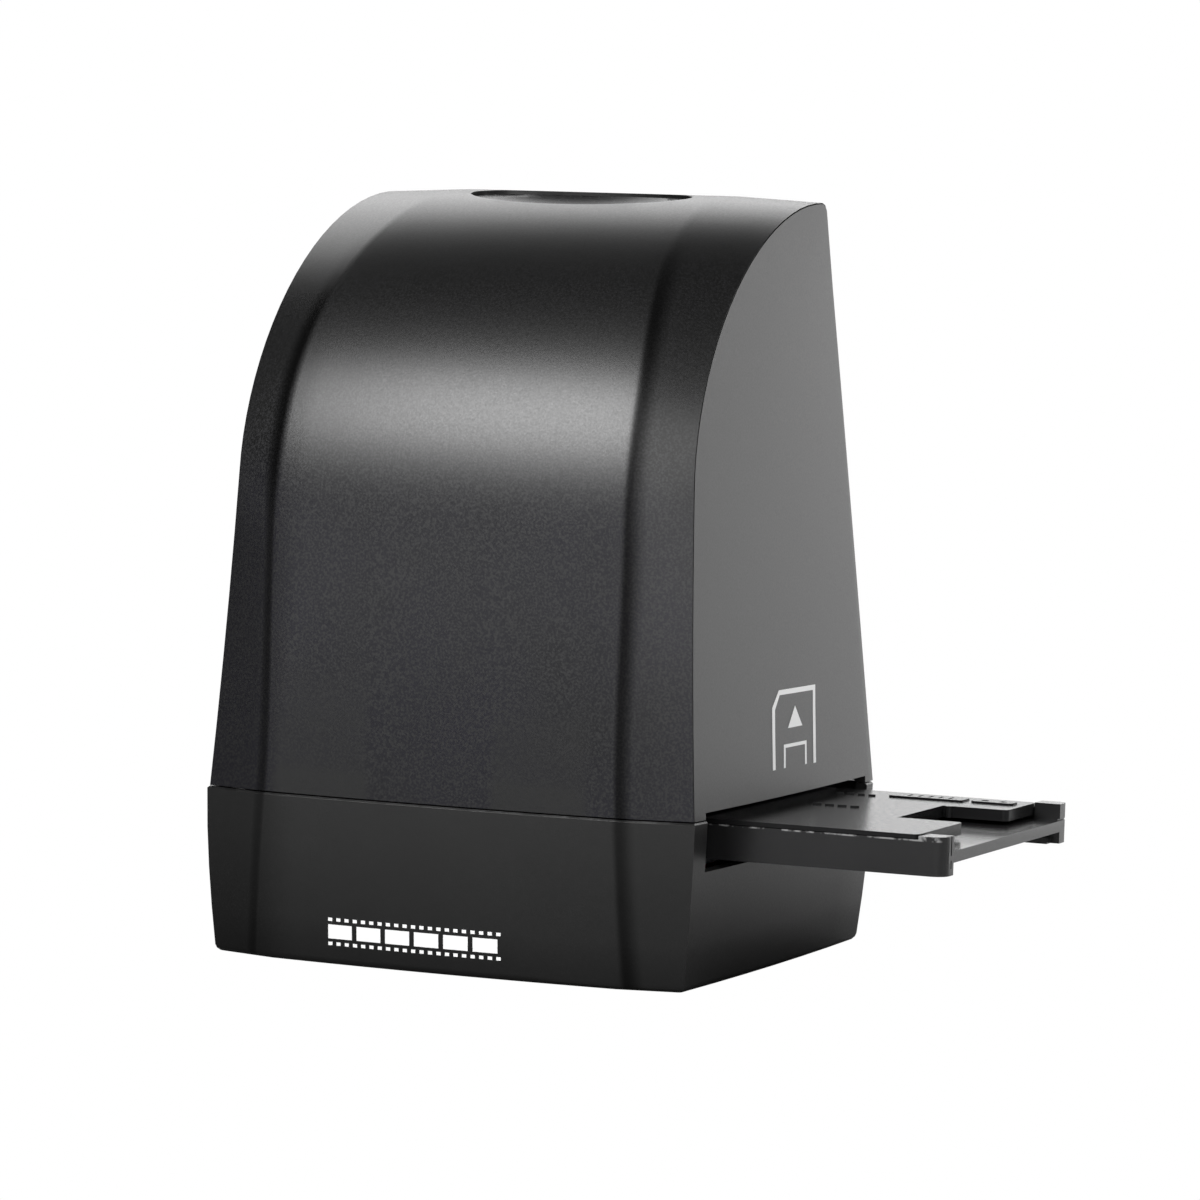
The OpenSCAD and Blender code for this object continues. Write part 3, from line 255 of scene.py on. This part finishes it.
def from_crease(look, x, z):
    """Distance out from the crease between the front panel and the band beside it."""
    rise = look.math("MINIMUM", look.times(look.add(z, -SEAM), 1 / CORNER_RISE), 1.0)
    rest = look.most(look.minus(1.0, rise), 0.0)
    half = look.add(look.times(rest, rest, SEAM_EXTRA), TOP_HALF)
    high = look.most(look.times(look.add(z, -NARROWS_FROM), 1 / NARROWS_OVER), 0.0)
    share = look.minus(PANEL_SHARE, look.times(high, high, PANEL_NARROWING))
    return look.minus(look.math("ABSOLUTE", x), look.times(half, share))


def painted_crease_shade(look, x, y, z, strength, low=0.0):
    """Painted shade: a soft dark line along both creases, a darker left side and a darker lower
    panel.

    Black with a metallic share gives back little light. In the photo both creases lie further
    in towards the seam than in the CAD, and the left one lies further out.
    """
    inwards = look.times(look.step(z, 0.078, SEAM), 0.0019)
    outwards = look.times(look.step(x, 0.0, -0.01), -0.0009)
    off = look.add(from_crease(look, x, z), look.add(inwards, outwards))
    line = look.times(look.step(off, -0.0014, -0.0001), look.step(off, 0.0030, 0.0001))
    left = look.times(look.step(x, -0.0245, -0.0345), look.step(z, 0.085, 0.065), 0.58)
    bottom = look.times(look.step(z, 0.064, 0.036), low)
    # Painted shade: black with a metallic share stands in for dark reflections here.
    painted_shade = look.most(look.most(line, left), bottom)
    painted_shade = look.times(painted_shade, look.step(y, -0.010, -0.034), strength)
    look.feed(painted_shade, "Metallic")
    look.recolour(painted_shade, grey(0.001))


def smoked(name):
    """Half clear smoked plastic: a speckle, and lighter fields where shields stand behind it."""
    look = plastic(name, grey(0.004), rough=0.36, grain=0.00035, depth=0.000008, mottle=0.1)
    x, y, z = look.axes()
    front = look.step(y, -0.034, -0.040)
    cloud = look.span(look.noise(38, 2), 0.35, 1.0)
    look.recolour(look.times(front, look.step(z, 0.088, 0.070), cloud), (0.0065, 0.0060, 0.0115))
    speckle = look.span(look.noise(2600, 1, 0.5), 0.0, 1.0, 0.42, 0.64)
    look.recolour(look.times(speckle, look.add(look.times(front, 0.75), 0.25)),
                  (0.0200, 0.0200, 0.0210))
    fields = 0.0
    for left, right, top in SHIELDS:
        across = look.times(look.step(x, left - 0.0005, left + 0.0025),
                            look.step(x, right + 0.0005, right - 0.0025))
        field = look.times(across, look.step(z, top, top - 0.009), 0.5)
        lip = look.times(across, look.step(z, 0.0335, 0.0295), 0.9)
        fields = look.add(fields, look.add(field, lip))
    uneven = look.span(look.noise(220, 3), 0.7, 1.2)
    look.recolour(look.times(fields, front, uneven), (0.015, 0.015, 0.0155))
    # Painted shade along the creases, on the left side and on the lower panel.
    painted_crease_shade(look, x, y, z, 0.72, low=0.2)
    return look


def based(name):
    """Satin base with a painted highlight: a thin broken pale line along its upper edge at the
    seam.
    """
    look = plastic(name, grey(0.0095), rough=0.38, depth=0.000009, mottle=0.1, specular=0.52)
    x, y, z = look.axes()
    # Painted highlight: pale broken specks along the base's upper edge at the seam, stronger
    # towards the right.
    edge = look.times(look.step(z, SEAM - 0.00035, SEAM - 0.0002),
                      look.span(look.noise(420, 4), 0.15, 1.0, 0.42, 0.62),
                      look.step(x, 0.0415, 0.0380))
    look.recolour(look.times(edge, look.span(x, 0.35, 1.0, 0.0, 0.02)), grey(0.05))
    # Painted shade along the creases and on the left side of the base.
    painted_crease_shade(look, x, y, z, 0.55)
    return look


def railed(name):
    """Gloss holder with a painted highlight: pale specks along the upper edge of its front rail."""
    look = plastic(name, (0.014, 0.014, 0.0145), rough=0.24, grain=0.0008, depth=0.000006,
                   mottle=0.1, specular=0.4)
    _, y, z = look.axes()
    # Painted highlight: pale specks along the rail's upper front edge.
    rim = look.times(look.step(z, 0.02605, 0.0262),
                     look.step(y, RAIL_FRONT + 0.0009, RAIL_FRONT + 0.0003))
    look.recolour(look.times(rim, look.span(look.noise(520, 3), 0.0, 1.0, 0.46, 0.58)), grey(0.22))
    return look


def streaked(name):
    """Gloss black lid with faint moulding streaks across it."""
    look = plastic(name, (0.009, 0.009, 0.0094), rough=0.24, grain=0.0008, depth=0.000002,
                   mottle=0.1, specular=0.15)
    look.bump(look.noise(700, 2, 0.5, (1, 0.03, 0.03)), 0.000008)
    return look


LOOKS = {
    "cover_plastic": smoked("smoked_cover"),
    "shell_plastic": plastic("satin_shell", grey(0.007), rough=0.38, grain=0.00028, mottle=0.1,
                             specular=0.78),
    "base_plastic": based("satin_base"),
    "foot_rubber": plastic("foot_rubber", grey(0.02), rough=0.75, grain=0.0004, depth=0.00003,
                           mottle=0.2, specular=0.3),
    "screw_steel": metal("screw_steel", (0.56, 0.57, 0.58)),
    "spring_steel": metal("spring_steel", (0.62, 0.63, 0.64), rough=0.2, stretch=(30, 1, 1)),
    "socket_steel": metal("socket_steel", (0.68, 0.69, 0.7), rough=0.22),
    "board": board("solder_mask"),
    "led_plastic": plastic("ivory_plastic", (0.80, 0.74, 0.55)),
    "white_plastic": plastic("white_plastic", (0.84, 0.84, 0.80), rough=0.45),
    "track_plastic": plastic("matte_black_plastic", (0.010, 0.010, 0.011), rough=0.6),
    "chassis_plastic": plastic("grey_chassis", (0.20, 0.20, 0.21), rough=0.5, grain=0.0004),
    "chip_plastic": plastic("chip_plastic", (0.014, 0.014, 0.015), rough=0.5, grain=0.0002),
    "lens_glass": plastic("lens_glass", (0.35, 0.42, 0.5), rough=0.03, grain=0.001, depth=0.0,
                          mottle=0.02, specular=0.8, coat=1.0),
    "cable_plastic": plastic("ribbon_plastic", (0.66, 0.66, 0.62), rough=0.5),
    "wire_plastic": plastic("wire_plastic", (0.42, 0.03, 0.02), rough=0.45),
    "button_plastic": plastic("gloss_button", (0.004, 0.004, 0.0045), rough=0.25, grain=0.0008,
                              depth=0.0000006, mottle=0.05, specular=0.12),
    "holder_plastic": streaked("gloss_holder"),
}
# The holder base gets its own material because of the painted highlight along its rail edge.
OWN_LOOKS = {"holder_base": railed("holder_painted_highlight")}
INK = plastic("white_ink", grey(0.90), rough=0.5, grain=0.0002, depth=0.000003, mottle=0.02)


def look_of(node):
    return OWN_LOOKS.get(node, LOOKS[slots[node]])


def put(obj, look):
    obj.data.materials.clear()
    obj.data.materials.append(look.mat)


for name, obj in NODES.items():
    put(obj, look_of(name))


# Smooth copies of the visible nodes

def add_object(name, data):
    obj = bpy.data.objects.new(name, data)
    bpy.context.collection.objects.link(obj)
    return obj


def smooth_copy(node, edge_radius):
    """A welded copy of a CAD node, smooth over gentle angles and softened along its edges."""
    mesh = NODES[node].data.copy()
    mesh.name = node + "_visible"
    bm = bmesh.new()
    bm.from_mesh(mesh)
    bmesh.ops.remove_doubles(bm, verts=bm.verts, dist=WELD)
    for face in bm.faces:
        face.smooth = True
    for edge in bm.edges:
        edge.smooth = len(edge.link_faces) == 2 and edge.calc_face_angle(0) < SMOOTH_BELOW
    bm.to_mesh(mesh)
    bm.free()
    obj = add_object(node + "_visible", mesh)
    soften = obj.modifiers.new("soft_edges", "BEVEL")
    soften.width = edge_radius
    soften.segments = 2
    soften.limit_method = "ANGLE"
    soften.angle_limit = SMOOTH_BELOW
    put(obj, look_of(node))
    return obj


shown = {node: smooth_copy(node, edge_radius) for node, edge_radius in SOFT_EDGES.items()}
for node in shown:
    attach(shown[node], BODY[node])
    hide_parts(node)


# Prints

def mm(*points):
    return [Vector(p) * 0.001 for p in points]


def rectangle(x, z, width, height):
    return mm((x, z), (x + width, z), (x + width, z + height), (x, z + height))


def fine_mesh(outline):
    """A flat outline cut into small triangles."""
    flat = bmesh.new()
    face = flat.faces.new([flat.verts.new((p[0], p[1], 0)) for p in outline])
    bmesh.ops.triangulate(flat, faces=[face])
    for _ in range(6):
        long_edges = [e for e in flat.edges if e.calc_length() > PRINT_CELL]
        if not long_edges:
            break
        bmesh.ops.subdivide_edges(flat, edges=long_edges, cuts=1, use_grid_fill=False)
        bmesh.ops.triangulate(flat, faces=flat.faces[:])
    return flat


def print_on(name, node, outlines, start_of, direction):
    """Lays flat outlines on a node: a ray from each point's start finds the surface."""
    solid = bmesh.new()
    solid.from_mesh(NODES[node].data)
    tree = BVHTree.FromBMesh(solid)
    solid.free()
    bm = bmesh.new()
    for outline in outlines:
        flat = fine_mesh(outline)
        laid = {}
        for v in flat.verts:
            hit = tree.ray_cast(start_of(v.co.x, v.co.y), direction)[0]
            laid[v] = bm.verts.new(hit - direction * PRINT_LIFT)
        for f in flat.faces:
            bm.faces.new([laid[v] for v in f.verts])
        flat.free()
    mesh = bpy.data.meshes.new(name)
    bmesh.ops.recalc_face_normals(bm, faces=bm.faces)
    bm.to_mesh(mesh)
    bm.free()
    obj = add_object(name, mesh)
    put(obj, INK)
    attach(obj, "housing")


# On the right side: a holder with a clipped corner, an arrow and the slot under it
side_sign = [
    mm((-6.92, 33.4), (-5.67, 33.4), (-5.28, 43.10), (-6.52, 43.55)),
    mm((-6.52, 43.55), (-5.28, 43.10), (-3.05, 45.42), (-3.40, 46.25)),
    mm((-3.40, 46.25), (-3.05, 45.42), (12.36, 45.28), (13.62, 46.12)),
    mm((13.62, 46.12), (12.36, 45.28), (11.77, 33.20), (13.02, 33.20)),
    mm((-2.02, 33.4), (-1.17, 33.4), (-0.92, 36.66), (-1.72, 37.25)),
    mm((-1.72, 37.25), (-0.92, 36.66), (7.98, 36.63), (8.82, 37.20)),
    mm((8.82, 37.20), (7.98, 36.63), (7.77, 33.30), (8.62, 33.30)),
    mm((0.35, 39.8), (7.06, 39.8), (3.84, 43.3)),
]
print_on("side_sign", "rear_shell", side_sign, lambda y, z: Vector((0.2, y, z)), Vector((-1, 0, 0)))

# On the base's front: a strip of film with six frames and two rows of perforations, in mm
STRIP_LEFT = -19.2
FRAME_PITCH, FRAME_Z, FRAME_W, FRAME_H = 5.15, 4.75, 4.3, 2.3
HOLE_PITCH, HOLE_W, HOLE_H = 1.493, 0.75, 0.55
film_sign = [rectangle(STRIP_LEFT + FRAME_PITCH * i, FRAME_Z, FRAME_W, FRAME_H) for i in range(6)]
for i in range(21):
    for hole_z in (7.6, 3.65):
        film_sign.append(rectangle(STRIP_LEFT + HOLE_PITCH * i, hole_z, HOLE_W, HOLE_H))
print_on("film_sign", "base_shell", film_sign, lambda x, z: Vector((x, -0.2, z)), Vector((0, 1, 0)))


# Stage

def white_for_camera(tree, kind, shader, out):
    """Camera rays see plain white, and all others see the shader."""
    rays = tree.nodes.new("ShaderNodeLightPath")
    white = tree.nodes.new(kind)
    white.inputs["Color"].default_value = (1, 1, 1, 1)
    white.inputs["Strength"].default_value = 1.0
    mixer = tree.nodes.new("ShaderNodeMixShader")
    tree.links.new(rays.outputs["Is Camera Ray"], mixer.inputs[0])
    tree.links.new(shader, mixer.inputs[1])
    tree.links.new(white.outputs[0], mixer.inputs[2])
    tree.links.new(mixer.outputs[0], out.inputs["Surface"])


FLOOR_HALF = 4
FLOOR_DROP = 0.0002  # keeps the floor clear of the feet
NEAR, FAR = 0.03, 1.1  # where the floor starts to get paler, and where it is palest
NEAR_TONE, FAR_TONE = 0.05, 0.85
WORLD_STRENGTH = 0.03

floor_mesh = bpy.data.meshes.new("floor")
corners = [(x * FLOOR_HALF, y * FLOOR_HALF, 0) for x, y in ((-1, -1), (1, -1), (1, 1), (-1, 1))]
floor_mesh.from_pydata(corners, [], [(0, 1, 2, 3)])
floor = add_object("floor", floor_mesh)
floor.location.z = -FLOOR_DROP

# Painted shade round the object: the floor is darker near it and gets paler with the distance,
# faster behind it. Reflections and bounced light see this shade, and camera rays see plain white.
pale = plastic("pale_floor", grey(0.3), rough=0.8, grain=0.002, depth=0.0, mottle=0.01,
               specular=0.1)
floor_x, floor_y, _ = pale.axes()
apart = pale.add(pale.times(floor_x, floor_x), pale.times(floor_y, floor_y))
apart = pale.math("POWER", apart, 0.5)
apart = pale.add(apart, pale.times(pale.most(floor_y, 0.0), 3.0))
spread = pale.math("POWER", pale.step(apart, NEAR, FAR), 0.49)
pale.feed(pale.blend(spread, grey(NEAR_TONE), grey(FAR_TONE)), "Base Color")
white_for_camera(pale.tree, "ShaderNodeEmission", pale.bsdf.outputs[0], pale.out)
put(floor, pale)

scene = bpy.context.scene
world = bpy.data.worlds.new("studio")
scene.world = world
world.use_nodes = True
studio = world.node_tree
studio.nodes.clear()
dim = studio.nodes.new("ShaderNodeBackground")
dim.inputs["Color"].default_value = (1, 1, 1, 1)
dim.inputs["Strength"].default_value = WORLD_STRENGTH
white_for_camera(studio, "ShaderNodeBackground", dim.outputs[0],
                 studio.nodes.new("ShaderNodeOutputWorld"))

LIGHT_DISTANCE = 1.5
LIT_POINT = Vector((0, 0, 0.08))


def soft_light(name, azimuth, elevation, width, height, radiance):
    """A soft rectangle that faces the object; azimuth 0 is in front of it and 90 on its right."""
    az, el = math.radians(azimuth), math.radians(elevation)
    away = Vector((math.sin(az) * math.cos(el), -math.cos(az) * math.cos(el), math.sin(el)))
    data = bpy.data.lights.new(name, "AREA")
    data.shape = "RECTANGLE"
    data.size, data.size_y = width, height
    data.energy = radiance * math.pi * width * height
    obj = add_object(name, data)
    obj.location = LIT_POINT + away * LIGHT_DISTANCE
    obj.rotation_mode = "QUATERNION"
    obj.rotation_quaternion = (-away).to_track_quat("-Z", "Y")
    obj.visible_camera = False


soft_light("key", -20, 33.4, 0.88, 0.68, 15.2)
soft_light("fill_right", 31, 20, 0.8, 1.0, 3.1)
soft_light("rim_right", 158, 10, 1.4, 0.66, 1.4)
soft_light("rim_left", -158, 29, 1.6, 0.78, 2.6)
soft_light("glint", 88, 6, 0.3, 0.4, 2.6)
soft_light("side_soft", 98, 40, 1.3, 0.8, 3.0)
soft_light("low_back", -160, 5, 0.5, 0.2, 2.1)

# The camera as solved from the photo: where it stands, and how far it is turned, tipped and rolled
CAMERA_AT = Vector((0.34268, -0.79036, 0.1167))
yaw, pitch, roll = (math.radians(a) for a in (22.91, 3.85, 1.86))
forward = Vector((-math.sin(yaw) * math.cos(pitch), math.cos(yaw) * math.cos(pitch),
                  -math.sin(pitch)))
right = Vector((math.cos(yaw), math.sin(yaw), 0))
up = right.cross(forward)
right_rolled = right * math.cos(roll) + up * math.sin(roll)
up_rolled = -right * math.sin(roll) + up * math.cos(roll)
turn = Matrix((right_rolled, up_rolled, -forward)).transposed()
lens = bpy.data.cameras.new("camera")
lens.sensor_width = 36
lens.lens = 155.37
lens.clip_start, lens.clip_end = 0.05, 20
camera = add_object("camera", lens)
camera.matrix_world = Matrix.Translation(CAMERA_AT) @ turn.to_4x4()
scene.camera = camera
scene.view_settings.view_transform = "Standard"
